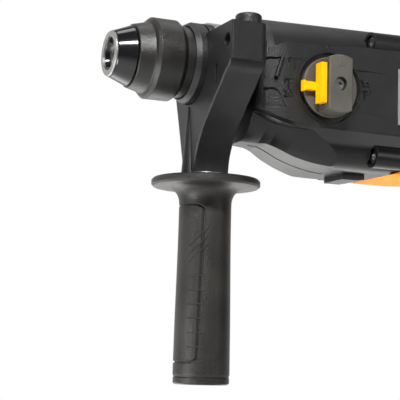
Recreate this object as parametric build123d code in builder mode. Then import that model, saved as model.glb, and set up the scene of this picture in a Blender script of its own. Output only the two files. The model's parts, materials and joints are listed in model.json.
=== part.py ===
"""SDS-plus rotary hammer: chuck, hammer mechanism, gear train, motor, casings and handles.

Frame: the origin is the mouth of the tool-holder bore, +X runs back along the spindle
towards the rear handle, -Y is the side with the mode knob, +Z is up. Millimetres.
"""
import os
from math import cos, pi, radians, sin, sqrt, tan

from build123d import *

os.makedirs("parts", exist_ok=True)

# ---------------------------------------------------------------- driving dimensions
# Axes of the three shafts, all parallel to X, as heights.
spindle_z = 0.0
layshaft_z = -36.0
motor_z = -16.0

# Tool holder and chuck.
shank_r = 5.05
holder_r = 9.0
nose_front = -4.0
mouth_r = 10.2
nose_back = 8.7
nose_back_r = 18.4
sleeve_r = 25.0
sleeve_front = 9.2
sleeve_back = 46.0
sleeve_tail_r = 22.1
ball_r = 3.5
ball_x = 24.0
ball_seat_r = 6.6
ball_ramp = 0.43
guide_back = 13.0
guide_relief_r = 5.35
key_front = 16.0
key_back = 36.0

# Spindle tube and the hammer mechanism inside it.
spindle_back = 126.0
front_journal_r = 13.0
barrel_r = 16.0
cylinder_r = 13.5
barrel_front = 70.0
piston_front = 80.0
piston_wall = 127.0
trunnion_x = 140.0
striker_r = 10.4
slide_gap = 0.05
finger_r = 3.0

# Gear train: module, then teeth of each pair.
spindle_module = 1.2
layshaft_pinion_teeth = 11
spindle_gear_teeth = 49
motor_module = 0.8
motor_pinion_teeth = 9
motor_gear_teeth = 41
spindle_gear_x = 98.0
spindle_gear_w = 8.0
motor_gear_x = 160.0
motor_gear_w = 8.0

# Casings.
collar_r = 25.1
neck_r = 25.2
neck_front = 56.0
neck_back = 81.0
side_y = 36.0
belly_low = -61.8

# Mode knob.
dial_x = 127.9
dial_z = -13.5
dial_r = 22.7

# Side handle.
grip_x = 62.2
flange_top = -71.6
flange_low = -76.6
flange_r = 33.6
grip_low = -196.7
cap_top = -192.6
bracket_front = 50.5
bracket_back = 74.0
bracket_low = -68.6
block_out = -59.0
block_top = 14.6
stop_y = -52.0
stop_z = 4.0
button_x = 65.0
button_y = -50.0
button_r = 7.9

# Rear handle.
handle_half = 17.0
handle_wall = 2.5

gear_backlash = 0.10

# Motor stack.
core_front = 213.5
core_length = 44.0
core_back = core_front + core_length
stator_front = 215.6
stator_back = 255.6


# ---------------------------------------------------------------- shared construction
def lathe(points, z=0.0, mode=Mode.ADD):
    """Turn a closed outline of (x, radius) points about an X-parallel axis at height z."""
    with BuildSketch(Plane.XY.offset(z)) as outline:
        with BuildLine():
            Polyline(*points, close=True)
        make_face()
    return revolve(outline.sketch, axis=Axis((0, 0, z), (1, 0, 0)), mode=mode)


def ring(x0, x1, r_in, r_out, z=0.0, mode=Mode.ADD):
    """A plain ring about an X-parallel axis at height z."""
    lathe([(x0, r_in), (x1, r_in), (x1, r_out), (x0, r_out)], z, mode)


def bar(x0, x1, radius, z=0.0, mode=Mode.ADD):
    """A plain round bar about an X-parallel axis at height z."""
    lathe([(x0, 0), (x1, 0), (x1, radius), (x0, radius)], z, mode)


def slab(x0, x1, y0, y1, z0, z1, mode=Mode.ADD):
    """A box given by its limits."""
    with Locations(((x0 + x1) / 2, (y0 + y1) / 2, (z0 + z1) / 2)):
        Box(x1 - x0, y1 - y0, z1 - z0, mode=mode)


def side_plate(points, y0, y1, mode=Mode.ADD):
    """Extrude a closed (x, z) outline from y0 to y1."""
    with BuildSketch(Plane.XZ.offset(-y1)) as outline:
        with BuildLine():
            Polyline(*points, close=True)
        make_face()
    return extrude(outline.sketch, amount=y1 - y0, mode=mode)


def front_plate(points, x0, x1, mode=Mode.ADD):
    """Extrude a closed (y, z) outline from x0 to x1."""
    with BuildSketch(Plane.YZ.offset(x0)) as outline:
        with BuildLine():
            Polyline(*points, close=True)
        make_face()
    extrude(outline.sketch, amount=x1 - x0, mode=mode)


def gear_outline(teeth, module, thin, z, turn):
    """Corner points of a stub-tooth spur gear centred at height z.

    thin is taken off each tooth flank, turn is the first tooth's angle from +Y in degrees.
    """
    pitch_r = teeth * module / 2
    half = pi / (2 * teeth) - thin / pitch_r
    slope = tan(radians(20)) * module / pitch_r
    root_r = pitch_r - 1.15 * module
    tip_r = pitch_r + 0.75 * module
    points = []
    for tooth in range(teeth):
        middle = 2 * pi * tooth / teeth + radians(turn)
        for radius, angle in (
            (root_r, middle - half - 1.15 * slope),
            (tip_r, middle - half + 0.75 * slope),
            (tip_r, middle + half - 0.75 * slope),
            (root_r, middle + half + 1.15 * slope),
        ):
            points.append((radius * cos(angle), z + radius * sin(angle)))
    return points


def spur_gear(x0, width, teeth, module, z, turn):
    """A spur gear about an X-parallel axis; turn is the angle of its first tooth from +Y."""
    with BuildSketch(Plane.YZ.offset(x0)) as outline:
        with BuildLine():
            Polyline(*gear_outline(teeth, module, gear_backlash, z, turn), close=True)
        make_face()
    extrude(outline.sketch, amount=width)


def sealed_bearing(x0, width, r_in, r_out, z):
    """A ball bearing with its shields, as one solid with recessed faces."""
    race = (r_out - r_in) / 4
    x1 = x0 + width
    lathe([
        (x0, r_in), (x1, r_in), (x1, r_in + race), (x1 - 0.6, r_in + race),
        (x1 - 0.6, r_out - race), (x1, r_out - race), (x1, r_out), (x0, r_out),
        (x0, r_out - race), (x0 + 0.6, r_out - race), (x0 + 0.6, r_in + race),
        (x0, r_in + race),
    ], z)


def coil(x0, x1, radius, wire, turns, z=0.0):
    """A compression spring about an X-parallel axis."""
    pitch = (x1 - x0 - 2 * wire) / turns
    start = Plane(origin=(x0 + wire, 0, z), x_dir=(0, 1, 0), z_dir=(1, 0, 0))
    path = start * Helix(pitch, pitch * turns, radius)
    section = Plane(origin=path @ 0, z_dir=path % 0)
    with BuildSketch(section) as round_wire:
        Circle(wire)
    sweep(round_wire.sketch, path=path)


def save(part, name):
    """Label a finished piece and write its STEP file."""
    part.label = name
    export_step(part, f"parts/{name}.step")


# ---------------------------------------------------------------- chuck
with BuildPart() as nose_ring:
    lathe([
        (nose_front, mouth_r), (-2.6, mouth_r), (-2.6, 13.7), (-3.4, 13.9), (nose_front, 13.5),
    ])
save(nose_ring.part, "nose_ring")

with BuildPart() as dust_cap:
    lathe([
        (-2.6, mouth_r), (0, mouth_r - 0.8), (0, holder_r), (nose_back, holder_r),
        (nose_back, nose_back_r - 0.6), (nose_back - 0.6, nose_back_r),
        (-2.3, 14.3), (-2.6, 14.0),
    ])
save(dust_cap.part, "dust_cap")

with BuildPart() as lock_sleeve:
    lathe([
        (sleeve_front, holder_r + 0.3), (12.2, holder_r + 0.3), (12.2, 16.5), (32, 16.5),
        (32, 20.8), (sleeve_back, 20.8), (sleeve_back, sleeve_tail_r), (39.2, sleeve_tail_r),
        (37.3, 23.9), (35.8, sleeve_r), (21.2, sleeve_r), (19.6, 23.6),
        (18.4, 21.9), (17.4, 21.5), (9.6, 19.5), (sleeve_front, 19.1),
    ])
save(lock_sleeve.part, "lock_sleeve")

ramp_r = ball_seat_r + ball_r + 0.4
with BuildPart() as locking_ring:
    lathe([
        (16, ramp_r + ball_ramp * (ball_x - 16)), (ball_x, ramp_r), (32, ramp_r),
        (32, 16.5), (16, 16.5),
    ])
save(locking_ring.part, "locking_ring")

for side, name in ((-1, "lock_ball_left"), (1, "lock_ball_right")):
    with BuildPart() as lock_ball:
        with Locations((ball_x, side * ball_seat_r, 0)):
            Sphere(ball_r)
    save(lock_ball.part, name)

with BuildPart() as sleeve_spring:
    coil(32.2, 49.9, 13.4, 0.8, 4)
save(sleeve_spring.part, "sleeve_spring")

# ---------------------------------------------------------------- spindle and hammer
with BuildPart() as spindle:
    lathe([
        (0, shank_r), (guide_back, shank_r), (guide_back, guide_relief_r),
        (44, guide_relief_r), (44, 5.8), (50, 5.8), (50, 8.8), (73, 8.8),
        (73, cylinder_r), (spindle_back, cylinder_r), (spindle_back, barrel_r),
        (barrel_front, barrel_r), (barrel_front, front_journal_r), (52, front_journal_r),
        (52, 20), (50, 20), (50, holder_r), (0, holder_r),
    ])
    with BuildSketch(Plane.XZ) as ball_window:
        with Locations((ball_x, 0)):
            Circle(ball_r + 0.1)
    extrude(ball_window.sketch, amount=holder_r + 1, both=True, mode=Mode.SUBTRACT)
    for side in (-1, 1):
        slab(key_front, key_back, -1.4, 1.4, side * 4.6 - 1.0, side * 4.6 + 1.0)
save(spindle.part, "spindle")

with BuildPart() as spindle_gear:
    spur_gear(spindle_gear_x, spindle_gear_w, spindle_gear_teeth, spindle_module, spindle_z, -90)
    bar(90, 112, barrel_r, spindle_z, Mode.SUBTRACT)
    ring(97.9, 99.5, 20, 26, spindle_z, Mode.SUBTRACT)
save(spindle_gear.part, "spindle_gear")

with BuildPart() as clutch_ring:
    ring(94, 97.9, barrel_r, 21, spindle_z)
    for number in range(6):
        with Locations(Location((0, 0, 0), (number * 60, 0, 0))):
            with Locations((93.4, 18.5, 0)):
                Box(1.2, 3, 3)
save(clutch_ring.part, "clutch_ring")

with BuildPart() as clutch_spring:
    coil(72.2, 92.6, 18.0, 1.1, 4)
save(clutch_spring.part, "clutch_spring")

with BuildPart() as impact_bolt:
    lathe([
        (45.5, 0), (74.4, 0), (74.4, 4.6), (73.9, 5.1), (62, 5.7), (62, 8.7), (53, 8.7),
        (51, 5.7), (46.1, 5.7), (45.5, 5.1),
    ])
save(impact_bolt.part, "impact_bolt")

with BuildPart() as striker:
    lathe([
        (88, 0), (119, 0), (119, striker_r - 0.6), (118.4, striker_r), (110, striker_r),
        (110, 8.8), (107, 8.8), (107, striker_r), (97, striker_r), (96, 7.2), (89, 6.8),
        (88, 6.0),
    ])
save(striker.part, "striker")

with BuildPart() as striker_seal:
    with Locations(Location((108.5, 0, 0), (0, 90, 0))):
        Torus(9.6, 0.8)
save(striker_seal.part, "striker_seal")

with BuildPart() as piston:
    lathe([
        (piston_front, striker_r + 0.1), (piston_wall, striker_r + 0.1), (piston_wall, 0),
        (133, 0), (133, cylinder_r - slide_gap), (piston_front, cylinder_r - slide_gap),
    ])
    for side in (-1, 1):
        slab(133, 147, side * 9.0 - 2.2, side * 9.0 + 2.2, -6.5, 6.5)
    with BuildSketch(Plane.XZ) as trunnion_hole:
        with Locations((trunnion_x, 0)):
            Circle(5.0 + slide_gap)
    extrude(trunnion_hole.sketch, amount=14, both=True, mode=Mode.SUBTRACT)
    with BuildSketch(Plane.XZ.offset(0)) as vent:
        with Locations((86, 0)):
            Circle(1.2)
    extrude(vent.sketch, amount=16, both=True, mode=Mode.SUBTRACT)
save(piston.part, "piston")

with BuildPart() as piston_pin:
    with BuildSketch(Plane.XZ.offset(-11)) as pin_section:
        with Locations((trunnion_x, 0)):
            Circle(5.0)
    extrude(pin_section.sketch, amount=22)
    with Locations((trunnion_x, 0, 0)):
        Cylinder(finger_r + 0.3, 12, mode=Mode.SUBTRACT)
save(piston_pin.part, "piston_pin")

with BuildPart() as spindle_bearings:
    sealed_bearing(59.2, 8.8, front_journal_r + slide_gap, 19.9, spindle_z)
    sealed_bearing(112, 8, barrel_r + slide_gap, 22, spindle_z)
save(spindle_bearings.part, "spindle_bearings")

with BuildPart() as front_seal:
    lathe([
        (56.2, front_journal_r + slide_gap), (57, front_journal_r + 0.8),
        (58.8, front_journal_r + 0.8), (58.8, 19.9), (56.2, 19.9),
    ])
save(front_seal.part, "front_seal")

# ---------------------------------------------------------------- layshaft and wobble drive
with BuildPart() as layshaft:
    lathe([
        (86, 0), (177, 0), (177, 5), (93, 5), (93, 4.4), (86, 4.4),
    ], layshaft_z)
    spur_gear(95, 14, layshaft_pinion_teeth, spindle_module, layshaft_z, 90 + 180 / 11)
save(layshaft.part, "layshaft")

with BuildPart() as layshaft_gear:
    spur_gear(
        motor_gear_x, motor_gear_w, motor_gear_teeth, motor_module, layshaft_z, 90
    )
    bar(150, 180, 5, layshaft_z, Mode.SUBTRACT)
    for number in range(6):
        angle = radians(30 + 60 * number)
        spot = (10.5 * cos(angle), layshaft_z + 10.5 * sin(angle))
        with BuildSketch(Plane.YZ.offset(motor_gear_x - 1)) as lightening:
            with Locations(spot):
                Circle(2.6)
        extrude(lightening.sketch, amount=motor_gear_w + 2, mode=Mode.SUBTRACT)
save(layshaft_gear.part, "layshaft_gear")

hub_r = 10.0
with BuildPart() as wobble_hub:
    shoulder = sqrt(hub_r ** 2 - 7 ** 2)
    with BuildSketch(Plane.XY.offset(layshaft_z)) as hub_outline:
        with BuildLine():
            Polyline((trunnion_x - shoulder, 7), (131, 7), (131, 5), (149, 5), (149, 7),
                     (trunnion_x + shoulder, 7))
            ThreePointArc((trunnion_x + shoulder, 7), (trunnion_x, hub_r),
                          (trunnion_x - shoulder, 7))
        make_face()
    revolve(hub_outline.sketch, axis=Axis((0, 0, layshaft_z), (1, 0, 0)))
save(wobble_hub.part, "wobble_hub")

with BuildPart() as wobble_ring:
    ring(134.5, 145.5, 12, 18, layshaft_z)
    with Locations((trunnion_x, 0, layshaft_z)):
        Sphere(14.3, mode=Mode.SUBTRACT)
    with Locations((trunnion_x, 0, (layshaft_z + 17 + 5) / 2)):
        Cylinder(finger_r, 5 - layshaft_z - 17)
    with BuildSketch(Plane.XZ) as oil_hole:
        with Locations((trunnion_x, layshaft_z)):
            Circle(1.2)
    extrude(oil_hole.sketch, amount=20, both=True, mode=Mode.SUBTRACT)
save(wobble_ring.part, "wobble_ring")

with BuildPart() as wobble_balls:
    for number in range(10):
        angle = 2 * pi * number / 10
        spot = (trunnion_x, 12.15 * cos(angle), layshaft_z + 12.15 * sin(angle))
        with Locations(spot):
            Sphere(2.0)
save(wobble_balls.part, "wobble_balls")

with BuildPart() as layshaft_bearings:
    ring(86, 92, 4.4 + slide_gap, 7, layshaft_z)
    sealed_bearing(170, 7, 5 + slide_gap, 11, layshaft_z)
save(layshaft_bearings.part, "layshaft_bearings")

# ---------------------------------------------------------------- motor
with BuildPart() as armature_shaft:
    lathe([
        (172, 0), (291, 0), (291, 3.5), (282, 3.5), (282, 4), (172, 4),
    ], motor_z)
    spur_gear(158.5, 14, motor_pinion_teeth, motor_module, motor_z, 90)
save(armature_shaft.part, "armature_shaft")

with BuildPart() as armature_core:
    with BuildSketch(Plane.YZ.offset(core_front)) as lamination:
        with Locations((0, motor_z)):
            Circle(20)
            Circle(4, mode=Mode.SUBTRACT)
            with PolarLocations(18, 12):
                Rectangle(6, 2.4, mode=Mode.SUBTRACT)
    extrude(lamination.sketch, amount=core_length)
save(armature_core.part, "armature_core")

with BuildPart() as armature_windings:
    ring(core_front - 7, core_front, 4, 17.5, motor_z)
    ring(core_back, core_back + 7, 4, 17.5, motor_z)
    fillet(armature_windings.edges().filter_by(GeomType.CIRCLE).group_by(SortBy.RADIUS)[-1], 2.5)
save(armature_windings.part, "armature_windings")

with BuildPart() as commutator:
    ring(266, 279, 4, 12.5, motor_z)
    with BuildSketch(Plane.YZ.offset(268)) as bar_gaps:
        with Locations((0, motor_z)):
            with PolarLocations(12.2, 24):
                Rectangle(1.6, 0.5)
    extrude(bar_gaps.sketch, amount=16, mode=Mode.SUBTRACT)
save(commutator.part, "commutator")

with BuildPart() as fan:
    ring(188.5, 190.5, 4, 30, motor_z)
    ring(190.5, 196.5, 4, 8, motor_z)
    for number in range(15):
        with BuildSketch(Plane.YZ.offset(190.5)) as blade:
            with Locations(Location((0, motor_z), number * 24)):
                with Locations((19, 0)):
                    Rectangle(20, 1.2, rotation=18)
        extrude(blade.sketch, amount=5.5)
save(fan.part, "fan")

with BuildPart() as motor_bearings:
    sealed_bearing(178.5, 7, 4 + slide_gap, 11, motor_z)
    sealed_bearing(283, 6, 3.5 + slide_gap, 9.5, motor_z)
save(motor_bearings.part, "motor_bearings")

with BuildPart() as stator_core:
    with BuildSketch(Plane.YZ.offset(stator_front)) as frame_outline:
        with Locations((0, motor_z)):
            Circle(34)
            Circle(28, mode=Mode.SUBTRACT)
    extrude(frame_outline.sketch, amount=40)
    for side in (-1, 1):
        with BuildSketch(Plane.YZ.offset(stator_front)) as pole:
            with Locations((side * 25.5, motor_z)):
                Rectangle(9, 24)
            with Locations((0, motor_z)):
                Circle(21, mode=Mode.SUBTRACT)
        extrude(pole.sketch, amount=40)
save(stator_core.part, "stator_core")

with BuildPart() as field_windings:
    for side in (-1, 1):
        for x0, x1 in ((stator_front - 7, stator_front), (stator_back, stator_back + 7)):
            slab(x0, x1, side * 25.5 - 4, side * 25.5 + 4, motor_z - 14, motor_z + 14)
save(field_windings.part, "field_windings")

with BuildPart() as brush_holders:
    for side in (-1, 1):
        slab(266, 277, side * 20 - 7, side * 20 + 7, motor_z - 6, motor_z + 6)
    slab(267.5, 275.5, -40, 40, motor_z - 3, motor_z + 3, Mode.SUBTRACT)
save(brush_holders.part, "brush_holders")

with BuildPart() as brushes:
    for side in (-1, 1):
        slab(267.7, 275.3, side * 18.2 - 5.5, side * 18.2 + 5.5, motor_z - 2.8, motor_z + 2.8)
save(brushes.part, "brushes")

# ---------------------------------------------------------------- gear casing
# The lower edge of the upper casing, where the belly cover takes over.
seam = [(81, -29), (88, -31.8), (97, -35.2), (106, -37.4), (118, -38.6), (215, -39.4)]
# The black casing ends at this line; the motor housing starts behind it.
end_line = [(156, -72), (161, -66), (178, -62.6), (191, -58), (204, -49), (215, -30), (215, 60)]
upper_boss = (29.5, 20)
lower_boss = (33, -53)
screw_spots = [upper_boss, lower_boss]
# Shallow pockets in the sides of the gear casing, as (x, z) outlines.
side_pockets = [
    [(85, 2), (97, 2.6), (92.5, -11), (85, -11.8)],
    [(85, -16.8), (91, -16.4), (94, -18.5), (99, -28.4), (85, -28.9)],
]
pocket_depth = 1.3
rim_height = 2.6
boss_front = 160.5
head_seat = 164.6

with BuildPart() as neck_collar:
    lathe([
        (43.8, sleeve_tail_r + 0.4), (54.2, sleeve_tail_r + 0.4), (54.2, 14.5),
        (neck_front, 14.5), (neck_front, neck_r), (54, neck_r), (54, 24.1), (52.9, 24.1),
        (52.9, collar_r), (47, collar_r), (43.8, 23.3),
    ])
save(neck_collar.part, "neck_collar")


def case_cavity():
    """The space inside both halves of the gear casing."""
    lathe([
        (85, 0), (230, 0), (230, 32.3), (150, 32), (96.5, 31), (91, 29), (85, 26),
    ], mode=Mode.SUBTRACT)
    with Locations((157, 0, -26)):
        box_room = Box(146, 66, 68, mode=Mode.PRIVATE)
    add(box_room & nose_plan(3, Mode.PRIVATE), mode=Mode.SUBTRACT)


def screw_bores(spot):
    """Counterbored holes for one pair of casing screws, spot being (half distance, z)."""
    for side in (-1, 1):
        for x0, x1, radius in ((boss_front - 2, head_seat, 5.2), (160, 205, 2.2)):
            with BuildSketch(Plane.YZ.offset(x0)) as bore_section:
                with Locations((side * spot[0], spot[1])):
                    Circle(radius)
            extrude(bore_section.sketch, amount=x1 - x0, mode=Mode.SUBTRACT)


def behind_end_line(mode):
    """Everything behind the joint with the motor housing."""
    side_plate(end_line + [(400, 60), (400, -72)], -60, 60, mode)


def nose_plan(inset, mode):
    """Round the front corners of a casing as seen from above, inset inside its skin."""
    half = side_y - inset
    front = 81 + inset
    with BuildSketch(Plane.XY.offset(-80)) as plan:
        with BuildLine():
            Spline((104, -half), (92, -half + 2.2), (front, -half + 9),
                   tangents=[(-1, 0), (-0.6, 1)])
            Line((front, -half + 9), (front, half - 9))
            Spline((front, half - 9), (92, half - 2.2), (104, half),
                   tangents=[(0.6, 1), (1, 0)])
            Polyline((104, half), (240, half), (240, -half), (104, -half))
        make_face()
    return extrude(plan.sketch, amount=120, mode=mode)


def keel_form(inset):
    """The turned shape that draws the belly in towards the front, moved in by inset."""
    return lathe([
        (60, 0), (230, 0), (230, 60 - inset), (150, 53 - inset), (130, 46.4 - inset),
        (118, 42.0 - inset), (108, 37.6 - inset), (98, 31.9 - inset), (92, 29.6 - inset),
        (81, 28.3 - inset), (60, 28.3 - inset),
    ], -20, Mode.PRIVATE)


with BuildPart() as gear_housing:
    side_plate(seam + [(215, 17), (150, 15), (98, 12), (88, 8), (84, -8)], -side_y, side_y)
    nose_plan(0, Mode.INTERSECT)
    lathe([
        (neck_front, 12), (neck_front, neck_r), (neck_back, neck_r), (82.5, 28.5),
        (86, 31.8), (92, 33), (215, 36), (215, 12),
    ])
    for side in (-1, 1):
        with BuildSketch(Plane.YZ.offset(boss_front)) as boss:
            with Locations((side * upper_boss[0], upper_boss[1])):
                Circle(7.3)
        extrude(boss.sketch, amount=215 - boss_front)
    side_plate(
        [(p[0], p[1]) for p in seam] + [(215, -120), (60, -120), (81, -30)],
        -60, 60, Mode.SUBTRACT,
    )
    case_cavity()
    lathe([
        (50, 0), (50, 19.9), (68.2, 19.9), (68.2, 17.5), (70, 17.5), (70, 20.6), (86, 20.6),
        (86, 0),
    ], mode=Mode.SUBTRACT)
    screw_bores(upper_boss)
    skin = nose_plan(pocket_depth, Mode.PRIVATE)
    for outline in side_pockets:
        add(side_plate(outline, -60, 60, Mode.PRIVATE) - skin, mode=Mode.SUBTRACT)
    for side in (-1, 1):
        with BuildSketch(Plane.XY.offset(-27.5)) as tapered_pocket:
            with BuildLine():
                Polyline((138, side * 40), (138, side * (side_y - 1.4)),
                         (173, side * (side_y + 0.05)), (173, side * 40), close=True)
            make_face()
        extrude(tapered_pocket.sketch, amount=27.5, mode=Mode.SUBTRACT)
    with BuildSketch(Plane.XZ.offset(side_y)) as dial_well:
        with Locations((dial_x, dial_z)):
            Circle(21.8)
    extrude(dial_well.sketch, amount=-1.6, mode=Mode.SUBTRACT)
    with BuildSketch(Plane.XZ) as knob_bore:
        with Locations((dial_x, dial_z)):
            Circle(8 + slide_gap)
    extrude(knob_bore.sketch, amount=60, mode=Mode.SUBTRACT)
    behind_end_line(Mode.SUBTRACT)
save(gear_housing.part, "gear_housing")

with BuildPart() as belly_cover:
    with BuildSketch(Plane.XZ.offset(-60)) as side_outline:
        with BuildLine():
            Polyline(*seam)
            Polyline(seam[-1], (215, belly_low), (150, belly_low))
            Spline((150, belly_low), (124, -58.6), (108, -53.2), (96, -48.0),
                   tangents=[(-1, 0.02), (-1, 0.3)])
            Polyline((96, -48.0), (81, -47.2), seam[0])
        make_face()
    extrude(side_outline.sketch, amount=120)
    with BuildSketch(Plane.YZ.offset(70)) as cross_section:
        with Locations((0, -30)):
            RectangleRounded(2 * side_y, -2 * (belly_low + 30), 16)
    extrude(cross_section.sketch, amount=160, mode=Mode.INTERSECT)
    nose_plan(0, Mode.INTERSECT)
    rim = side_plate(
        seam + [(x, z - rim_height) for x, z in reversed(seam)], -60, 60, Mode.PRIVATE
    )
    add(keel_form(0) + rim, mode=Mode.INTERSECT)
    for side in (-1, 1):
        with BuildSketch(Plane.YZ.offset(boss_front)) as boss:
            with Locations((side * lower_boss[0], lower_boss[1])):
                Circle(7.3)
        extrude(boss.sketch, amount=50)
    slab(152, 168, -12, 12, belly_low - 3.8, belly_low + 1.4)
    with BuildSketch(Plane.XZ.offset(-31)) as inner_outline:
        with BuildLine():
            Polyline((84, -20), (215, -20), (215, -59.6), (150, -59.6))
            Spline((150, -59.6), (124, -56.4), (109, -51.2), (97, -46.1),
                   tangents=[(-1, 0.02), (-1, 0.3)])
            Polyline((97, -46.1), (84, -45.6), (84, -20))
        make_face()
    with BuildSketch(Plane.YZ.offset(70)) as inner_section:
        with Locations((0, -30)):
            RectangleRounded(64, 59.2, 15)
    inner_block = extrude(inner_outline.sketch, amount=62, mode=Mode.PRIVATE)
    inner_run = extrude(inner_section.sketch, amount=160, mode=Mode.PRIVATE)
    inner_plan = nose_plan(3, Mode.PRIVATE)
    add(inner_block & inner_run & inner_plan & keel_form(2.6), mode=Mode.SUBTRACT)
    screw_bores(lower_boss)
    behind_end_line(Mode.SUBTRACT)
save(belly_cover.part, "belly_cover")

with BuildPart() as bearing_plate:
    with BuildSketch(Plane.YZ.offset(112)) as plate:
        Circle(30.5)
        with Locations((0, -24)):
            RectangleRounded(56, 58, 18)
        Circle(22, mode=Mode.SUBTRACT)
        with Locations((0, layshaft_z)):
            Circle(6.5, mode=Mode.SUBTRACT)
    extrude(plate.sketch, amount=8)
    ring(86, 92, 7, 8.3, layshaft_z)
    slab(86, 112, -4, 4, -45.0, -43.9)
    bar(84, 93, 7, layshaft_z, Mode.SUBTRACT)
save(bearing_plate.part, "bearing_plate")

with BuildPart() as motor_plate:
    with BuildSketch(Plane.YZ.offset(175)) as plate:
        with Locations((0, -18)):
            RectangleRounded(60, 76, 20)
    extrude(plate.sketch, amount=5)
    bar(169.5, 178, 13.5, layshaft_z)
    bar(178, 187.2, 13.5, motor_z)
    bar(165, 177.1, 11, layshaft_z, Mode.SUBTRACT)
    bar(178.4, 190, 11, motor_z, Mode.SUBTRACT)
    bar(165, 190, 5.5, motor_z, Mode.SUBTRACT)
save(motor_plate.part, "motor_plate")

with BuildPart() as motor_housing:
    side_plate([
        (150, belly_low), (205, belly_low), (240, -60), (275, -57), (300, -48), (300, 18),
        (280, 26), (245, 30), (215, 36), (150, 36),
    ], -60, 60)
    with BuildSketch(Plane.YZ.offset(150)) as cross_section:
        with Locations((0, -16)):
            RectangleRounded(78, 104, 32)
    extrude(cross_section.sketch, amount=160, mode=Mode.INTERSECT)
    with BuildSketch(Plane.XY.offset(-80)) as plan:
        with BuildLine():
            Polyline((150, -36), (205, -36), (222, -39), (268, -39), (300, -25), (300, 25),
                     (268, 39), (222, 39), (205, 36), (150, 36), close=True)
        make_face()
    extrude(plan.sketch, amount=160, mode=Mode.INTERSECT)
    side_plate(
        end_line + [(215, 70), (100, 70), (100, -72)], -60, 60, Mode.SUBTRACT
    )
    for x0, x1, half, low, high in (
        (150, 214, 33, -59.4, 31), (214, 240, 35, -58, 27), (240, 272, 35, -54, 22.5),
        (272, 281, 29, -52, 20),
    ):
        with BuildSketch(Plane.YZ.offset(x0)) as inner_section:
            with Locations((0, (low + high) / 2)):
                RectangleRounded(2 * half, high - low, 28)
        extrude(inner_section.sketch, amount=x1 - x0, mode=Mode.SUBTRACT)
    ring(280, 300, 9.5, 14, motor_z)
    bar(280, 290, 9.5, motor_z, Mode.SUBTRACT)
    bar(289, 292, 6, motor_z, Mode.SUBTRACT)
    for side in (-1, 1):
        for number in range(6):
            with Locations((228 + number * 7, side * 38, motor_z)):
                Box(3.0, 12, 26, mode=Mode.SUBTRACT)
save(motor_housing.part, "motor_housing")

with BuildPart() as housing_screws:
    for y, z in screw_spots:
        for side in (-1, 1):
            with BuildSketch(Plane.YZ.offset(head_seat)) as head:
                with Locations((side * y, z)):
                    Circle(4.4)
            extrude(head.sketch, amount=-2.8)
            with BuildSketch(Plane.YZ.offset(head_seat - 2.8)) as socket:
                with Locations((side * y, z)):
                    RegularPolygon(2.1, 6)
            extrude(socket.sketch, amount=1.8, mode=Mode.SUBTRACT)
            with BuildSketch(Plane.YZ.offset(head_seat)) as shank:
                with Locations((side * y, z)):
                    Circle(2.2)
            extrude(shank.sketch, amount=16)
save(housing_screws.part, "housing_screws")

with BuildPart() as label_plates:
    for side in (-1, 1):
        slab(177.5, 211, side * 36.35 - 0.35, side * 36.35 + 0.35, -32, 4)
save(label_plates.part, "label_plates")

# ---------------------------------------------------------------- mode knob
with BuildPart() as dial_ring:
    with BuildSketch(Plane.XZ.offset(side_y)) as ring_section:
        with Locations((dial_x, dial_z)):
            Circle(dial_r)
            Circle(21.8, mode=Mode.SUBTRACT)
    extrude(ring_section.sketch, amount=0.6)
save(dial_ring.part, "dial_ring")

with BuildPart() as mode_knob:
    with BuildSketch(Plane.XZ.offset(34.8)) as disc:
        with Locations((dial_x, dial_z)):
            Circle(18.9)
    extrude(disc.sketch, amount=3)
    chamfer(mode_knob.faces().sort_by(Axis.Y)[0].edges(), 0.5)
    with BuildSketch(Plane.XZ.offset(37.8)) as grip_bar:
        with Locations((dial_x, dial_z)):
            Circle(18)
            Rectangle(16, 40, mode=Mode.INTERSECT)
    extrude(grip_bar.sketch, amount=13.2)
    chamfer(mode_knob.faces().sort_by(Axis.Y)[0].edges(), 0.5)
    with BuildSketch(Plane.XZ.offset(51)) as screw_recess:
        with Locations((dial_x, dial_z)):
            Circle(4.2)
    extrude(screw_recess.sketch, amount=-4, mode=Mode.SUBTRACT)
    slab(119.5, 122.4, -48.8, -40.7, dial_z - 12.4, dial_z + 12.9, Mode.SUBTRACT)
    with BuildSketch(Plane.XZ.offset(30)) as shaft:
        with Locations((dial_x, dial_z)):
            Circle(8)
    extrude(shaft.sketch, amount=6.4)
    with BuildSketch(Plane.XZ.offset(32.5)) as crank_pin:
        with Locations((dial_x, dial_z + 5)):
            Circle(2)
    extrude(crank_pin.sketch, amount=-5)
    with BuildSketch(Plane.XZ.offset(30)) as screw_hole:
        with Locations((dial_x, dial_z)):
            Circle(1.6)
    extrude(screw_hole.sketch, amount=20, mode=Mode.SUBTRACT)
save(mode_knob.part, "mode_knob")

with BuildPart() as knob_screw:
    with BuildSketch(Plane.XZ.offset(47)) as head:
        with Locations((dial_x, dial_z)):
            Circle(3.6)
    extrude(head.sketch, amount=1.8)
    with BuildSketch(Plane.XZ.offset(48.8)) as socket:
        with Locations((dial_x, dial_z)):
            RegularPolygon(1.6, 6)
    extrude(socket.sketch, amount=-1.2, mode=Mode.SUBTRACT)
    with BuildSketch(Plane.XZ.offset(32)) as shank:
        with Locations((dial_x, dial_z)):
            Circle(1.6)
    extrude(shank.sketch, amount=15)
save(knob_screw.part, "knob_screw")

with BuildPart() as release_button:
    slab(115.6, 119.4, -48.5, -41, dial_z - 12.1, dial_z + 12.6)
    slab(108, 115.6, -41.4, -38.1, dial_z - 3.7, dial_z + 1.3)
    slab(107, 108.6, -41.4, -38.1, dial_z - 4.6, dial_z + 2.0)
save(release_button.part, "release_button")

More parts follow.
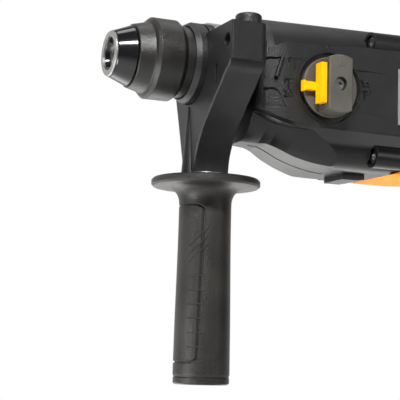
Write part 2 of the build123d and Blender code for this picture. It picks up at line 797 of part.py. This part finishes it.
# ---------------------------------------------------------------- side handle
clamp_gap = 0.06
with BuildPart() as side_bracket:
    with BuildSketch(Plane.YZ.offset(bracket_front)) as arm_outline:
        with BuildLine():
            Polyline((block_out + 1.4, -5), (block_out + 1.4, 5), (-27, 12), (27, 10),
                     (28.6, 2), (27.6, -8), (24.4, -18.6), (19.9, -32.2), (15.7, -45.6),
                     (11.6, -58.9), (9, bracket_low), (-7.5, bracket_low))
            Spline((-7.5, bracket_low), (-9.6, -58), (-14, -49.8), (-20, -42), (-27.5, -35),
                   (-35.2, -28), (-43.6, -21), (-52, -13.6), (block_out + 1.4, -5),
                   tangents=[(-0.08, 1), (-0.2, 1)])
        make_face()
    extrude(arm_outline.sketch, amount=bracket_back - bracket_front)
    for end in (0, -1):
        chamfer(side_bracket.faces().sort_by(Axis.X)[end].edges(), 0.8)
    with BuildSketch(Plane.XY.offset(-8.2)) as block_outline:
        with BuildLine():
            Polyline((bracket_front, -20), (bracket_front, block_out + 0.6),
                     (bracket_front + 0.6, block_out), (bracket_back - 6, block_out))
            ThreePointArc((bracket_back - 6, block_out),
                          (bracket_back - 1.6, block_out + 1.3),
                          (bracket_back, block_out + 5.5))
            Polyline((bracket_back, block_out + 5.5), (bracket_back, -20), (bracket_front, -20))
        make_face()
    extrude(block_outline.sketch, amount=block_top + 8.2)
    with BuildSketch(Plane.XY.offset(bracket_low)) as rib_foot:
        with Locations((bracket_front + 2.4, 1.7)):
            Circle(6.2)
    with BuildSketch(Plane.XY.offset(-27)) as rib_top:
        with Locations((bracket_front + 1.4, 2.2)):
            Circle(2.0)
    loft([rib_foot.sketch, rib_top.sketch])
    bar(40, 90, neck_r + clamp_gap, 0, Mode.SUBTRACT)
    ring(57.5, 68.5, neck_r, neck_r + 1.3, 0, Mode.SUBTRACT)
    with BuildSketch(Plane.YZ.offset(40)) as top_opening:
        with Locations((10, 30)):
            Rectangle(60, 34)
    extrude(top_opening.sketch, amount=60, mode=Mode.SUBTRACT)
    with BuildSketch(Plane.YZ.offset(45)) as stop_bore:
        with Locations((stop_y, stop_z)):
            Circle(4.1)
    extrude(stop_bore.sketch, amount=40, mode=Mode.SUBTRACT)
    with Locations((button_x, button_y, 22.7)):
        Cylinder(button_r + 0.3, 20, mode=Mode.SUBTRACT)
    slab(bracket_front - 1, bracket_front + 2.2, -38.2, -35.6, -19, -7.4, Mode.SUBTRACT)
    slab(54.7, 69.7, -7, 7, -38, -20, Mode.SUBTRACT)
    bar(40, neck_front + 0.4, collar_r + 0.6, 0, Mode.SUBTRACT)
    with Locations((grip_x, 0, -50)):
        Cylinder(4.1, 60, mode=Mode.SUBTRACT)
save(side_bracket.part, "side_bracket")

with BuildPart() as clamp_strap:
    ring(58, 68, neck_r + clamp_gap, neck_r + 1.1)
save(clamp_strap.part, "clamp_strap")

with BuildPart() as clamp_bolt:
    with Locations((grip_x, 0, -34.5)):
        Box(14, 13, 5)
    with Locations((grip_x, 0, -66)):
        Cylinder(4, 64)
    with Locations((grip_x, 0, -69.1)):
        Cylinder(15, 0.8)
save(clamp_bolt.part, "clamp_bolt")


def grip_form(inset):
    """Revolve the grip and its hand guard, with the grip's skin moved in by inset."""
    with BuildSketch(Plane.XZ) as grip_outline:
        with BuildLine():
            Polyline((grip_x, cap_top), (grip_x + 16.6 - inset, cap_top),
                     (grip_x + 17.3 - inset, cap_top + 2))
            Spline((grip_x + 17.3 - inset, cap_top + 2), (grip_x + 17.0 - inset, -160),
                   (grip_x + 16.2 - inset, -110), (grip_x + 16.1 - inset, -88),
                   tangents=[(-0.01, 1), (0, 1)])
            Spline((grip_x + 16.1 - inset, -88), (grip_x + 18.2 - inset, -80.5),
                   (grip_x + 24.5, flange_low - 0.6), tangents=[(0, 1), (1, 0.1)])
            Polyline((grip_x + 24.5, flange_low - 0.6), (grip_x + flange_r - 1.2, flange_low),
                     (grip_x + flange_r, flange_low + 1.2),
                     (grip_x + flange_r, flange_top - 1.2), (grip_x + flange_r - 1.2, flange_top),
                     (grip_x + 20, flange_top), (grip_x + 18, -69.8), (grip_x, -69.8),
                     (grip_x, cap_top))
        make_face()
    return revolve(grip_outline.sketch, axis=Axis((grip_x, 0, 0), (0, 0, 1)), mode=Mode.PRIVATE)


panel_core = grip_form(0.9)
with BuildPart() as panel_groove:
    with BuildSketch(Plane.YZ.offset(grip_x - 30)) as panel:
        with Locations((0, -136)):
            RectangleRounded(29.6, 96, 4)
            RectangleRounded(27.4, 93.8, 3, mode=Mode.SUBTRACT)
    extrude(panel.sketch, amount=30)
    add(panel_core, mode=Mode.SUBTRACT)

with BuildPart() as side_grip:
    add(grip_form(0))
    add(panel_groove.part, mode=Mode.SUBTRACT)
    with Locations((grip_x, 0, -84)):
        Cylinder(4.1, 36, mode=Mode.SUBTRACT)
save(side_grip.part, "side_grip")

with BuildPart() as grip_end_cap:
    with BuildSketch(Plane.XY.offset(grip_low)) as cap_section:
        with Locations((grip_x, 0)):
            Circle(17.1)
    extrude(cap_section.sketch, amount=cap_top - grip_low)
    chamfer(grip_end_cap.edges().filter_by(GeomType.CIRCLE).group_by(Axis.Z)[0], 0.9)
save(grip_end_cap.part, "grip_end_cap")

with BuildPart() as depth_button:
    with Locations((button_x, button_y, 18)):
        Cylinder(button_r, 6.2)
    fillet(depth_button.edges().filter_by(GeomType.CIRCLE).group_by(Axis.Z)[-1], 2)
save(depth_button.part, "depth_button")

# ---------------------------------------------------------------- rear handle
with BuildSketch(Plane.XZ) as handle_profile:
    with BuildLine():
        Polyline((300, 18), (332, 27), (366, 24), (384, 8), (387, -20), (382, -62), (372, -90),
                 (356, -98), (330, -90), (312, -66), (300, -48), close=True)
    make_face()
    fillet(handle_profile.vertices().filter_by_position(Axis.X, 320, 400), 9)
    with BuildLine():
        Polyline((322, 8), (346, 8), (352, -2), (348, -52), (340, -70), (330, -66), (318, -44),
                 close=True)
    make_face(mode=Mode.SUBTRACT)

handle_screw_spots = [(330, 17), (372, 8), (377, -58), (350, -86), (308, -52)]
for side, name in ((-1, "handle_left"), (1, "handle_right")):
    with BuildPart() as shell:
        extrude(handle_profile.sketch, amount=-side * handle_half)
        outer_face = shell.faces().sort_by(Axis.Y)[0 if side < 0 else -1]
        chamfer(outer_face.edges(), 4)
        with BuildSketch(Plane.XZ) as hollow:
            add(handle_profile.sketch)
            offset(amount=-handle_wall - 1.5, kind=Kind.INTERSECTION, mode=Mode.REPLACE)
        extrude(hollow.sketch, amount=-side * (handle_half - handle_wall), mode=Mode.SUBTRACT)
        for x, z in handle_screw_spots:
            with BuildSketch(Plane.XZ) as pillar:
                with Locations((x, z)):
                    Circle(4)
            extrude(pillar.sketch, amount=-side * (handle_half - 1))
        for x, z in handle_screw_spots:
            with BuildSketch(Plane.XZ) as pillar_bore:
                with Locations((x, z)):
                    Circle(1.7)
            extrude(pillar_bore.sketch, amount=-side * (14 if side > 0 else 8),
                    mode=Mode.SUBTRACT)
        if side > 0:
            for x, z in handle_screw_spots:
                with BuildSketch(Plane.XZ.offset(-14)) as head_bore:
                    with Locations((x, z)):
                        Circle(3.6)
                extrude(head_bore.sketch, amount=-6, mode=Mode.SUBTRACT)
        slab(340, 366, -7.4, 7.4, -44.4, -5.6, Mode.SUBTRACT)
        slab(352.7, 363.3, -30, 30, 0.7, 7.3, Mode.SUBTRACT)
        if side < 0:
            with BuildSketch(Plane.XZ) as button_bore:
                with Locations((368, -30)):
                    Circle(4.7)
            extrude(button_bore.sketch, amount=30, mode=Mode.SUBTRACT)
        with Locations((358, 0, -96)):
            Cylinder(7.5, 24, mode=Mode.SUBTRACT)
    save(shell.part, name)

with BuildPart() as trigger:
    side_plate([
        (357, -6), (349, -6), (343.5, -12), (341.5, -24), (343.5, -38), (349, -44), (357, -44),
    ], -7, 7)
    chamfer(trigger.edges().filter_by(Axis.Y).group_by(Axis.X)[0], 1)
save(trigger.part, "trigger")

with BuildPart() as switch_body:
    slab(363, 378, -10, 10, -44, -6)
save(switch_body.part, "switch_body")

with BuildPart() as lock_button:
    with BuildSketch(Plane.XZ.offset(12.8)) as button:
        with Locations((368, -30)):
            Circle(4.5)
    extrude(button.sketch, amount=6.8)
save(lock_button.part, "lock_button")

with BuildPart() as direction_slider:
    slab(353, 363, -20.5, 20.5, 1, 7)
    chamfer(direction_slider.faces().filter_by(Axis.Y).edges(), 1)
save(direction_slider.part, "direction_slider")

with BuildPart() as cable_gland:
    with Locations((358, 0, -98)):
        Cylinder(7.5, 20)
    with Locations((358, 0, -106)):
        Cylinder(9.5, 4)
    with Locations((358, 0, -98)):
        Cylinder(4.2, 30, mode=Mode.SUBTRACT)
save(cable_gland.part, "cable_gland")

with BuildPart() as handle_screws:
    for x, z in handle_screw_spots:
        with BuildSketch(Plane.XZ.offset(-14)) as head:
            with Locations((x, z)):
                Circle(3.5)
        extrude(head.sketch, amount=-2.2)
        with BuildSketch(Plane.XZ.offset(-16.2)) as socket:
            with Locations((x, z)):
                RegularPolygon(1.6, 6)
        extrude(socket.sketch, amount=1.4, mode=Mode.SUBTRACT)
        with BuildSketch(Plane.XZ.offset(7.5)) as shank:
            with Locations((x, z)):
                Circle(1.7)
        extrude(shank.sketch, amount=-21.5)
save(handle_screws.part, "handle_screws")
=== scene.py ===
"""Rotary hammer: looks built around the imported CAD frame. Metres, +X towards the rear handle."""
import json
from math import cos, radians, sin

import bmesh
import bpy
from mathutils import Matrix, Vector
from mathutils.bvhtree import BVHTree


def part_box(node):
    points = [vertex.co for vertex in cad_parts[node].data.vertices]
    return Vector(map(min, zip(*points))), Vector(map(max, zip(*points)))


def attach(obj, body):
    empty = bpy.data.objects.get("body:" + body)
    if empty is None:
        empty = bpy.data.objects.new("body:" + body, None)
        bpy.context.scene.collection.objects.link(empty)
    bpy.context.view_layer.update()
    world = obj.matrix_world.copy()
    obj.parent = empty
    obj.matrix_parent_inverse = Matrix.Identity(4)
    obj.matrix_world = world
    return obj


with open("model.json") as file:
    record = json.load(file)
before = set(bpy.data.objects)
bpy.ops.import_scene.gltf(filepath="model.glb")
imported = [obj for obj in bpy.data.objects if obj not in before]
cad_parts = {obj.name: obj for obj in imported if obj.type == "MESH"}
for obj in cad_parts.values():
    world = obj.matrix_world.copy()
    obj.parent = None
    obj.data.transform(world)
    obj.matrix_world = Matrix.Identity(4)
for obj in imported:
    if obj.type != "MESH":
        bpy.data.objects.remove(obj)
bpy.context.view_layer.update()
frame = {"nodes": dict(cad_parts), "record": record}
nodes = frame["nodes"]


# ------------------------------------------------------------------ camera and studio
def place_camera():
    """The camera of the reference view: below the tool, ahead of it, looking slightly up."""
    azimuth, elevation, roll = radians(23.6), radians(6.92), radians(1.49)
    forward = Vector((sin(azimuth) * cos(elevation), cos(azimuth) * cos(elevation), sin(elevation)))
    level_right = Vector((cos(azimuth), -sin(azimuth), 0))
    level_up = level_right.cross(forward)
    right = level_right * cos(roll) + level_up * sin(roll)
    up = level_up * cos(roll) - level_right * sin(roll)
    data = bpy.data.cameras.new("camera")
    data.lens = 112.4
    data.sensor_width = 36
    camera = bpy.data.objects.new("camera", data)
    bpy.context.scene.collection.objects.link(camera)
    turn = Matrix((right, up, -forward)).transposed().to_4x4()
    camera.matrix_world = Matrix.Translation((-0.2463, -0.69785, -0.17699)) @ turn
    bpy.context.scene.camera = camera


def area_light(name, place, target, size, power, colour=(1, 1, 1)):
    data = bpy.data.lights.new(name, "AREA")
    data.shape = "RECTANGLE"
    data.size, data.size_y = size
    data.energy = power
    data.color = colour
    light = bpy.data.objects.new(name, data)
    bpy.context.scene.collection.objects.link(light)
    aim = (Vector(target) - Vector(place)).to_track_quat("-Z", "Y")
    light.matrix_world = Matrix.Translation(place) @ aim.to_matrix().to_4x4()


def studio():
    """White surround for the camera, dim fill for the tool, and five soft boxes."""
    scene = bpy.context.scene
    scene.view_settings.view_transform = "Standard"
    world = bpy.data.worlds.new("studio")
    scene.world = world
    world.use_nodes = True
    tree = world.node_tree
    tree.nodes.clear()
    out = tree.nodes.new("ShaderNodeOutputWorld")
    seen = tree.nodes.new("ShaderNodeBackground")
    fill = tree.nodes.new("ShaderNodeBackground")
    mix = tree.nodes.new("ShaderNodeMixShader")
    path = tree.nodes.new("ShaderNodeLightPath")
    seen.inputs["Color"].default_value = (1, 1, 1, 1)
    seen.inputs["Strength"].default_value = 1.0
    fill.inputs["Color"].default_value = (1, 1, 1, 1)
    # The surround is bright low behind the tool and dark above and on the camera's side.
    direction = tree.nodes.new("ShaderNodeTexCoord")
    split = tree.nodes.new("ShaderNodeSeparateXYZ")
    glow = tree.nodes.new("ShaderNodeMapRange")
    glow.inputs["From Min"].default_value = -0.10
    glow.inputs["From Max"].default_value = 0.50
    glow.inputs["To Min"].default_value = 0.02
    glow.inputs["To Max"].default_value = 0.9
    lean = tree.nodes.new("ShaderNodeMath")
    lean.operation = "MULTIPLY_ADD"
    lean.inputs[1].default_value = -0.7
    tree.links.new(direction.outputs["Generated"], split.inputs["Vector"])
    tree.links.new(split.outputs["Z"], lean.inputs[0])
    tree.links.new(split.outputs["Y"], lean.inputs[2])
    tree.links.new(lean.outputs[0], glow.inputs["Value"])
    tree.links.new(glow.outputs["Result"], fill.inputs["Strength"])
    tree.links.new(path.outputs["Is Camera Ray"], mix.inputs[0])
    tree.links.new(fill.outputs[0], mix.inputs[1])
    tree.links.new(seen.outputs[0], mix.inputs[2])
    tree.links.new(mix.outputs[0], out.inputs["Surface"])
    area_light("key", (-0.31, -0.80, 0.70), (0.08, 0, 0), (0.60, 0.12), 25)
    area_light("top", (0.15, 0.20, 0.9), (0.1, 0, 0), (0.8, 0.3), 2.5)
    area_light("side", (0.70, -0.85, 0.15), (0.12, -0.03, -0.02), (0.2, 0.5), 1.5)
    area_light("front_low", (-0.80, -0.12, -0.42), (0.05, 0, -0.07), (0.25, 0.25), 6)
    area_light("floor_wash", (0.2, 0.75, -0.15), (0.2, 0.90, -0.6), (1.4, 0.5), 24)


# ------------------------------------------------------------------ materials
def principled(name, base, roughness, metallic=0.0, specular=0.5):
    material = bpy.data.materials.new(name)
    material.use_nodes = True
    tree = material.node_tree
    shader = tree.nodes["Principled BSDF"]
    shader.inputs["Base Color"].default_value = (*base, 1)
    shader.inputs["Roughness"].default_value = roughness
    shader.inputs["Metallic"].default_value = metallic
    shader.inputs["Specular IOR Level"].default_value = specular
    return material, tree, shader


def noise(tree, scale, detail=2.0, stretch=(1, 1, 1)):
    """A noise texture over the object's own coordinates, in features per metre."""
    place = tree.nodes.new("ShaderNodeTexCoord")
    mapping = tree.nodes.new("ShaderNodeMapping")
    mapping.inputs["Scale"].default_value = stretch
    texture = tree.nodes.new("ShaderNodeTexNoise")
    texture.inputs["Scale"].default_value = scale
    texture.inputs["Detail"].default_value = detail
    tree.links.new(place.outputs["Object"], mapping.inputs["Vector"])
    tree.links.new(mapping.outputs["Vector"], texture.inputs["Vector"])
    return texture


def ramp(tree, source, low, high, dark, light):
    """Map a texture's value between two colours."""
    node = tree.nodes.new("ShaderNodeValToRGB")
    node.color_ramp.elements[0].position = low
    node.color_ramp.elements[0].color = (*dark, 1)
    node.color_ramp.elements[1].position = high
    node.color_ramp.elements[1].color = (*light, 1)
    tree.links.new(source, node.inputs["Fac"])
    return node


def spread(tree, source, low, high):
    """Rescale a texture's 0 to 1 to low to high."""
    node = tree.nodes.new("ShaderNodeMapRange")
    node.inputs["To Min"].default_value = low
    node.inputs["To Max"].default_value = high
    tree.links.new(source, node.inputs["Value"])
    return node.outputs["Result"]


def bump(tree, shader, height, distance, strength=1.0):
    node = tree.nodes.new("ShaderNodeBump")
    node.inputs["Distance"].default_value = distance
    node.inputs["Strength"].default_value = strength
    tree.links.new(height, node.inputs["Height"])
    edge = tree.nodes.new("ShaderNodeBevel")
    edge.inputs["Radius"].default_value = 0.0005
    tree.links.new(edge.outputs["Normal"], node.inputs["Normal"])
    tree.links.new(node.outputs["Normal"], shader.inputs["Normal"])


def moulded(name, dark, light, rough, grain, depth, specular=0.5):
    """Moulded plastic: blotchy tone, sparkle grain in the tool's texture, uneven gloss."""
    material, tree, shader = principled(name, dark, rough, 0.0, specular)
    blotch = noise(tree, 45, 3)
    tone = ramp(tree, blotch.outputs["Fac"], 0.3, 0.7, dark, light)
    tree.links.new(tone.outputs["Color"], shader.inputs["Base Color"])
    fine = noise(tree, grain, 1.5)
    gloss = spread(tree, fine.outputs["Fac"], rough - 0.12, rough + 0.12)
    tree.links.new(gloss, shader.inputs["Roughness"])
    bump(tree, shader, fine.outputs["Fac"], depth)
    return material


def metal(name, dark, light, rough, stretch=(1, 1, 1), scale=900):
    material, tree, shader = principled(name, dark, rough, 1.0)
    lines = noise(tree, scale, 3, stretch)
    tone = ramp(tree, lines.outputs["Fac"], 0.3, 0.7, dark, light)
    tree.links.new(tone.outputs["Color"], shader.inputs["Base Color"])
    tree.links.new(spread(tree, lines.outputs["Fac"], rough - 0.08, rough + 0.1),
                   shader.inputs["Roughness"])
    bump(tree, shader, lines.outputs["Fac"], 0.00002)
    return material


def soft_plastic(name, dark, light, rough, specular=0.5):
    """Smooth satin moulding with faint flow marks."""
    material, tree, shader = principled(name, dark, rough, 0.0, specular)
    flow = noise(tree, 60, 4, (0.4, 1, 1))
    tone = ramp(tree, flow.outputs["Fac"], 0.35, 0.65, dark, light)
    tree.links.new(tone.outputs["Color"], shader.inputs["Base Color"])
    skin = noise(tree, 2600, 1)
    tree.links.new(spread(tree, flow.outputs["Fac"], rough - 0.05, rough + 0.05),
                   shader.inputs["Roughness"])
    bump(tree, shader, skin.outputs["Fac"], 0.00001)
    return material


looks = {
    "black_plastic": moulded(
        "black_plastic", (0.004, 0.004, 0.004), (0.009, 0.009, 0.009), 0.42, 1500, 0.00022, 0.40),
    "belly_plastic": soft_plastic(
        "belly_plastic", (0.002, 0.002, 0.002), (0.004, 0.004, 0.004), 0.32, 0.36),
    "sleeve_plastic": moulded(
        "sleeve_plastic", (0.006, 0.006, 0.005), (0.012, 0.011, 0.009), 0.38, 1700, 0.00020, 0.5),
    "nose_plastic": soft_plastic(
        "nose_plastic", (0.006, 0.006, 0.007), (0.008, 0.008, 0.009), 0.12),
    "nose_trim": metal("nose_trim", (0.30, 0.30, 0.29), (0.42, 0.42, 0.40), 0.42),
    "orange_plastic": moulded(
        "orange_plastic", (0.90, 0.28, 0.002), (1.0, 0.33, 0.004), 0.50, 1600, 0.00005, 0.10),
    "yellow_plastic": soft_plastic(
        "yellow_plastic", (1.0, 0.38, 0.001), (1.0, 0.44, 0.002), 0.48, 0.10),
    "knob_plastic": moulded(
        "knob_plastic", (0.055, 0.050, 0.042), (0.085, 0.078, 0.064), 0.50, 1500, 0.0001),
    "grip_plastic": moulded(
        "grip_plastic", (0.010, 0.009, 0.008), (0.020, 0.019, 0.016), 0.42, 1500, 0.00022, 0.45),
    "rubber": moulded("rubber", (0.012, 0.012, 0.012), (0.018, 0.018, 0.018), 0.75, 900, 0.00005),
    "steel": metal("steel", (0.42, 0.42, 0.42), (0.58, 0.58, 0.57), 0.32),
    "dark_steel": metal("dark_steel", (0.10, 0.10, 0.10), (0.16, 0.16, 0.16), 0.42),
    "spring_steel": metal("spring_steel", (0.30, 0.30, 0.31), (0.45, 0.45, 0.45), 0.30),
    "aluminium": metal("aluminium", (0.55, 0.55, 0.55), (0.70, 0.70, 0.70), 0.48),
    "brass": metal("brass", (0.55, 0.38, 0.13), (0.70, 0.50, 0.20), 0.35),
    "copper": metal("copper", (0.50, 0.20, 0.08), (0.68, 0.30, 0.13), 0.38),
    "carbon": moulded("carbon", (0.02, 0.02, 0.02), (0.04, 0.04, 0.04), 0.6, 1500, 0.0001),
    "label": metal("label", (0.30, 0.30, 0.29), (0.38, 0.38, 0.36), 0.45, (0.05, 1, 1)),
}
slot_of = {part["node"]: part["material_slot"] for part in frame["record"]["subparts"]}
for name, node in nodes.items():
    node.data.materials.clear()
    node.data.materials.append(looks[slot_of[name]])

# ------------------------------------------------------------------ moulded details
MM = 0.001


def middle(node):
    low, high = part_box(node)
    return (Vector(low) + Vector(high)) / 2


def add_piece(name, mesh, slot, body, smooth=False):
    """Link a mesh as a piece that rides on a body and takes the finish of a slot."""
    piece = bpy.data.objects.new(name, mesh)
    bpy.context.scene.collection.objects.link(piece)
    mesh.materials.append(looks[slot])
    if smooth:
        mesh.shade_smooth()
    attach(piece, body)
    return piece


def plate_into(bm, outline, y_low, y_high):
    """Add a prism to bm: an (x, z) outline in metres standing from y_low to y_high."""
    rings = []
    for y in (y_low, y_high):
        rings.append([bm.verts.new((x, y, z)) for x, z in outline])
    bm.faces.new(rings[0])
    bm.faces.new(list(reversed(rings[1])))
    count = len(outline)
    for index in range(count):
        after = (index + 1) % count
        bm.faces.new((rings[0][index], rings[1][index], rings[1][after], rings[0][after]))


def plates(name, outlines, y_low, y_high, slot, body, edge):
    """One piece made of several raised outlines with softened rims."""
    bm = bmesh.new()
    for outline in outlines:
        plate_into(bm, outline, y_low, y_high)
    bmesh.ops.recalc_face_normals(bm, faces=bm.faces)
    mesh = bpy.data.meshes.new(name)
    bm.to_mesh(mesh)
    bm.free()
    piece = add_piece(name, mesh, slot, body)
    soften = piece.modifiers.new("soften", "BEVEL")
    soften.width = edge
    soften.segments = 2
    soften.limit_method = "ANGLE"
    return piece


def band(outline, width):
    """Quads that trace an open (x, z) polyline with a constant width."""
    quads = []
    for (x0, z0), (x1, z1) in zip(outline, outline[1:]):
        run = Vector((x1 - x0, z1 - z0)).normalized() * width / 2
        across = Vector((-run.y, run.x))
        start = Vector((x0, z0)) - run
        stop = Vector((x1, z1)) + run
        quads.append([tuple(start + across), tuple(start - across), tuple(stop - across),
                      tuple(stop + across)])
    return quads


def place_icon(strokes, x, z, size, width):
    """Scale unit strokes to a symbol centred at (x, z) and give them a width."""
    quads = []
    for stroke in strokes:
        quads += band([(x + size * u, z + size * v) for u, v in stroke], width)
    return quads


def line(name, points, radius, slot, body):
    """A round bead along a smooth path."""
    curve = bpy.data.curves.new(name, "CURVE")
    curve.dimensions = "3D"
    curve.bevel_depth = radius
    curve.bevel_resolution = 3
    curve.use_fill_caps = True
    path = curve.splines.new("POLY")
    path.points.add(len(points) - 1)
    for point, place in zip(path.points, points):
        point.co = (*place, 1)
    piece = bpy.data.objects.new(name, curve)
    bpy.context.scene.collection.objects.link(piece)
    curve.materials.append(looks[slot])
    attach(piece, body)
    return piece


dial = middle("mode_knob")
side_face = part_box("dial_ring")[1][1]
knob_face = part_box("mode_knob")[0][1]

# Generic working-mode symbols round the dial: hammer, drill bit, and both together.
hammer = [[(-0.5, 0.35), (0.5, 0.35)], [(-0.5, 0.35), (-0.5, 0.1)], [(0.5, 0.35), (0.3, 0.05)],
          [(0.0, 0.35), (0.0, -0.5)]]
drill = [[(-0.5, 0.3), (-0.1, -0.1), (0.1, 0.3), (0.5, -0.1)], [(-0.5, -0.3), (0.5, -0.3)]]
symbols = []
symbols += place_icon(hammer, dial.x - 24 * MM, dial.z + 13 * MM, 8 * MM, 0.9 * MM)
symbols += place_icon(hammer, dial.x - 28 * MM, dial.z + 0.5 * MM, 6 * MM, 0.9 * MM)
symbols += place_icon(drill, dial.x - 28 * MM, dial.z - 6 * MM, 6 * MM, 0.9 * MM)
symbols += place_icon(drill, dial.x - 2 * MM, dial.z + 24.5 * MM, 7 * MM, 0.9 * MM)
symbols += place_icon(hammer, dial.x + 26 * MM, dial.z - 1 * MM, 6 * MM, 0.9 * MM)
symbols += place_icon(drill, dial.x + 26 * MM, dial.z + 6 * MM, 5 * MM, 0.8 * MM)
plates("mode_symbols", symbols, side_face - 0.25 * MM, side_face + 0.2 * MM, "belly_plastic",
       "casing", 0.12 * MM)

# Pointer triangle at the end of the knob's finger bar.
triangle = [(-2.3, 0), (0, 4.2), (2.3, 0), (-2.3, 0)]
pointer = band([(dial.x + u * MM, dial.z + (10.8 + v) * MM) for u, v in triangle], 0.5 * MM)
plates("knob_pointer", pointer, knob_face - 0.2 * MM, knob_face + 0.2 * MM, "knob_plastic",
       "mode_knob", 0.1 * MM)

# Slanted rib that closes the upper side pocket.
rib = [(-30.8, 16.6), (-33.2, 16.2), (-37.6, 3.2), (-35.4, 2.6)]
plates("side_rib", [[(dial.x + u * MM, dial.z + v * MM) for u, v in rib]],
       side_face - 0.5 * MM, side_face + 2.2 * MM, "black_plastic", "casing", 0.6 * MM)



def skin_of(name):
    """A ray target for the outer skin of one CAD node, in shared-frame metres."""
    node = nodes[name]
    points = [node.matrix_world @ vertex.co for vertex in node.data.vertices]
    return BVHTree.FromPolygons(points, [tuple(face.vertices) for face in node.data.polygons])


# Parting line along the keel of the belly cover, from behind its nose to before its foot.
keel = skin_of("belly_cover")
keel_spots = []
line_inset, foot_back, line_steps = 9 * MM, 66 * MM, 40
below_tool = -0.2
bead_shift = 0.05 * MM
front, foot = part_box("belly_cover")[0][0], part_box("belly_cover")[1][0] - foot_back
for step in range(line_steps + 1):
    x = front + line_inset + (foot - front - line_inset) * step / line_steps
    spot = keel.ray_cast(Vector((x, 0, below_tool)), Vector((0, 0, 1)))[0]
    if spot:
        keel_spots.append((spot.x, spot.y, spot.z + bead_shift))
line("belly_parting_line", keel_spots, 0.32 * MM, "rubber", "casing")

# Generic moulded marks across the groove of the grip's panel: slanted ribs over plain bars.
grip = skin_of("side_grip")
grip_low, grip_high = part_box("side_grip")
grip_axis = (Vector(grip_low) + Vector(grip_high)) / 2
panel_angle = radians(238)
beyond_grip = 0.08
mark_radius = 0.45 * MM


def grip_spot(turn, z):
    """The point on the grip's skin at an angle about its axis and a height."""
    out = Vector((cos(turn), sin(turn), 0))
    start = Vector((grip_axis.x, grip_axis.y, z)) + out * beyond_grip
    spot = grip.ray_cast(start, -out)[0]
    return tuple(spot + out * bead_shift)


def grip_stroke(name, ends, count):
    """A bead drawn on the grip between two (angle, height) ends."""
    (turn0, z0), (turn1, z1) = ends
    points = []
    for step in range(count):
        share = step / (count - 1)
        points.append(grip_spot(turn0 + (turn1 - turn0) * share, z0 + (z1 - z0) * share))
    line(name, points, mark_radius, "rubber", "side_grip")


mark_top = grip_high[2] - 38 * MM
rib_count, rib_pitch = 3, 5 * MM
for index in range(rib_count):
    drop = rib_pitch * index
    low_end = (panel_angle - radians(26), mark_top - 16 * MM + drop)
    high_end = (panel_angle + radians(16), mark_top - 5 * MM + drop)
    grip_stroke(f"grip_rib_{index + 1}", (low_end, high_end), 12)
bar_count, bar_pitch, first_bar = 7, 8.5 * MM, 24 * MM
for index in range(bar_count):
    z = mark_top - first_bar - bar_pitch * index
    ends = ((panel_angle - radians(24), z), (panel_angle + radians(12), z))
    grip_stroke(f"grip_bar_{index + 1}", ends, 10)

# ------------------------------------------------------------------ floor
floor_mesh = bpy.data.meshes.new("floor")
floor_half = 2
floor_mesh.from_pydata(
    [(-floor_half, -floor_half, 0), (floor_half, -floor_half, 0),
     (floor_half, floor_half, 0), (-floor_half, floor_half, 0)], [], [(0, 1, 2, 3)])
floor = bpy.data.objects.new("floor", floor_mesh)
floor_height = -0.6
floor.location = (0, 0, floor_height)
bpy.context.scene.collection.objects.link(floor)
floor_look = principled("floor", (0.82, 0.82, 0.81), 0.7)[0]
floor_mesh.materials.append(floor_look)

place_camera()
studio()
